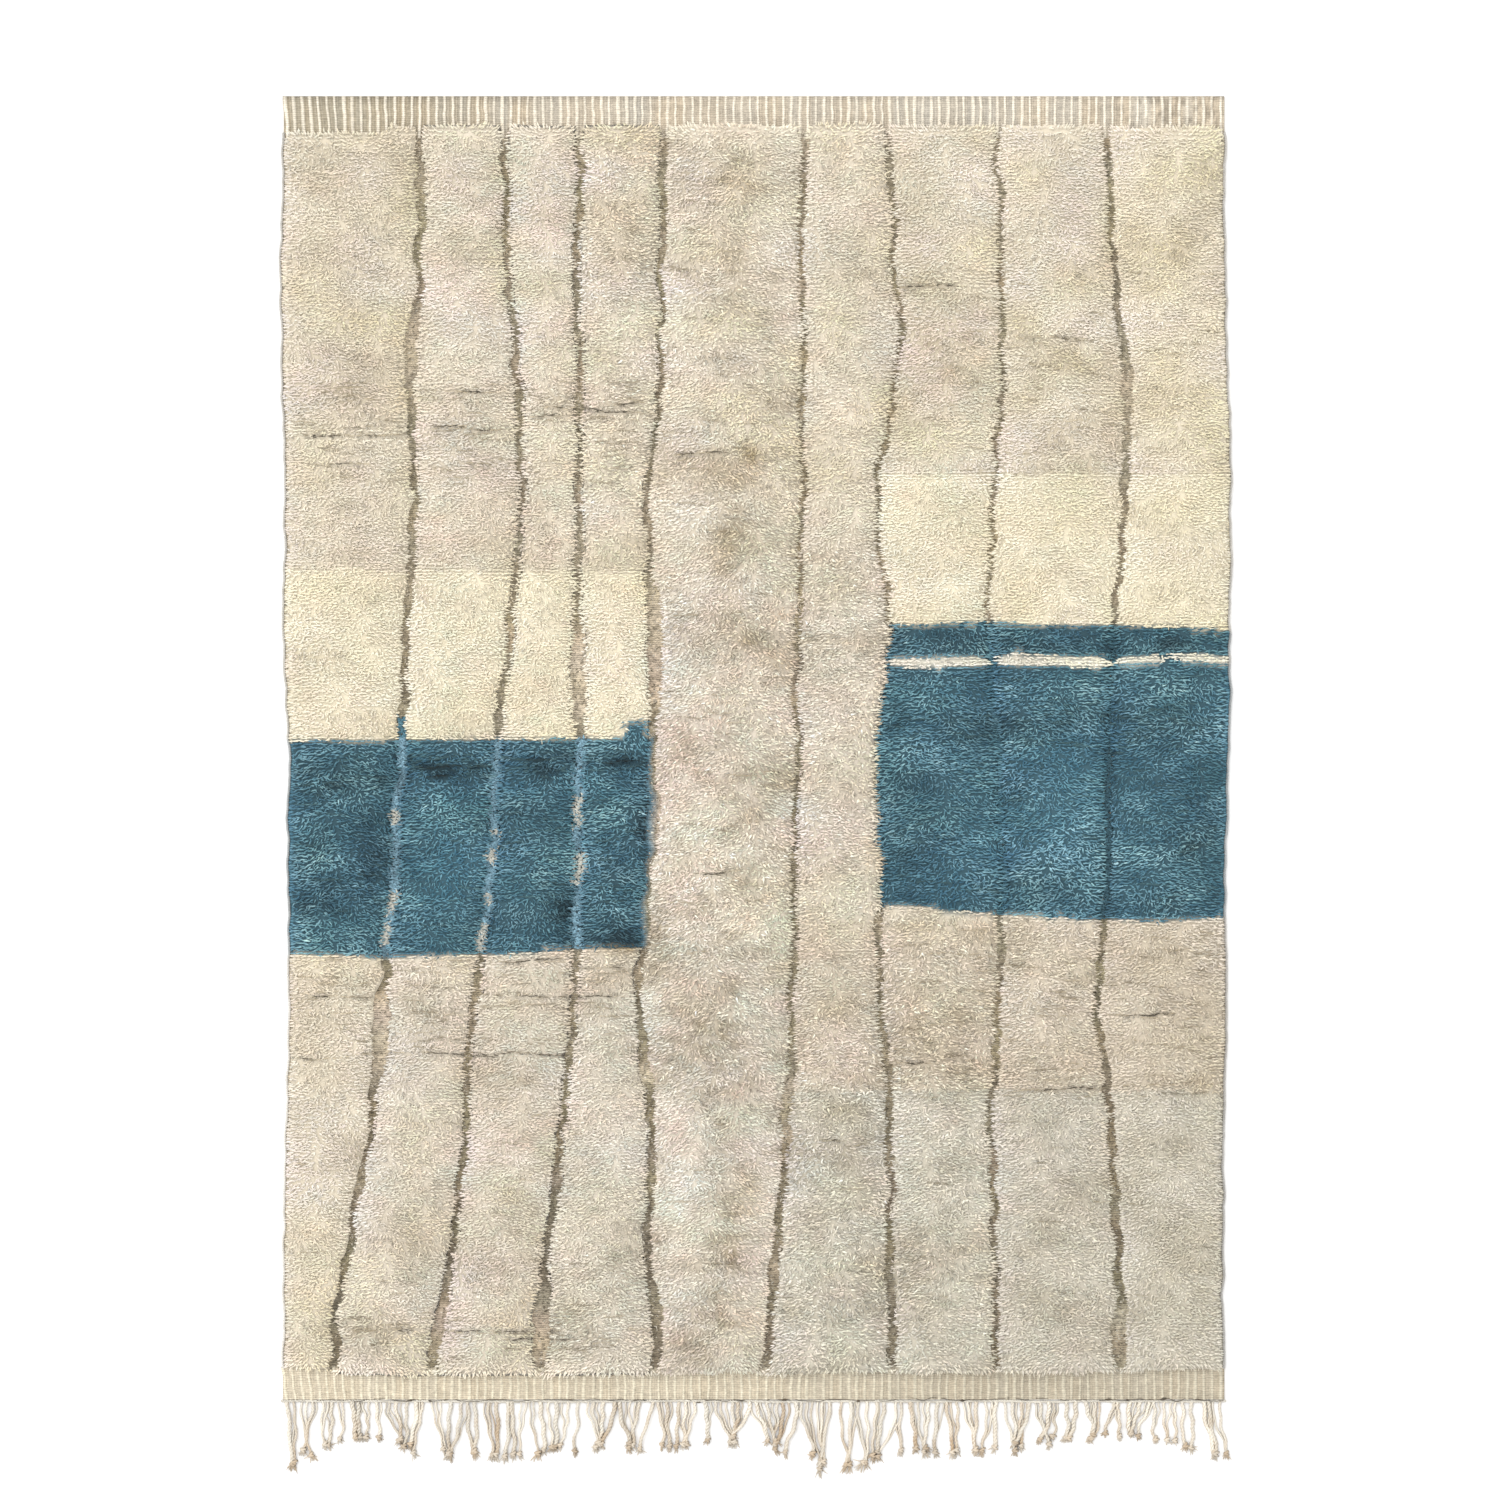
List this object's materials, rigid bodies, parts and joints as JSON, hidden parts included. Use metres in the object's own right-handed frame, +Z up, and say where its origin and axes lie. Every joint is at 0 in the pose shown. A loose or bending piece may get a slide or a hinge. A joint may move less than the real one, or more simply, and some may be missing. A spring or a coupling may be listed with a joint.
{
  "type": "beni ourain rug",
  "caption": "Thick hand-knotted wool rug lying flat, with wandering furrows in its pile, blue blocks, flat-woven ribbed ends and a knotted fringe.",
  "frame": {"origin": "middle of the whole outline, fringe included, at the underside", "axes": "+Y along the warps, away from the fringed end; +X across the rug, to the right as seen from above with the fringe at the bottom; +Z up through the pile"},
  "size_m": [2.0229, 2.9282, 0.0264],
  "materials": {
    "wool_pile": "thick undyed wool pile in cream and beige with blocks of grey-blue wool",
    "warp_yarn": "plied undyed wool yarn, knotted near the ends"
  },
  "bodies": {
    "root": {"knotted_rug": "wool_pile", "warp_fringe": "warp_yarn"}
  },
  "joints": []
}
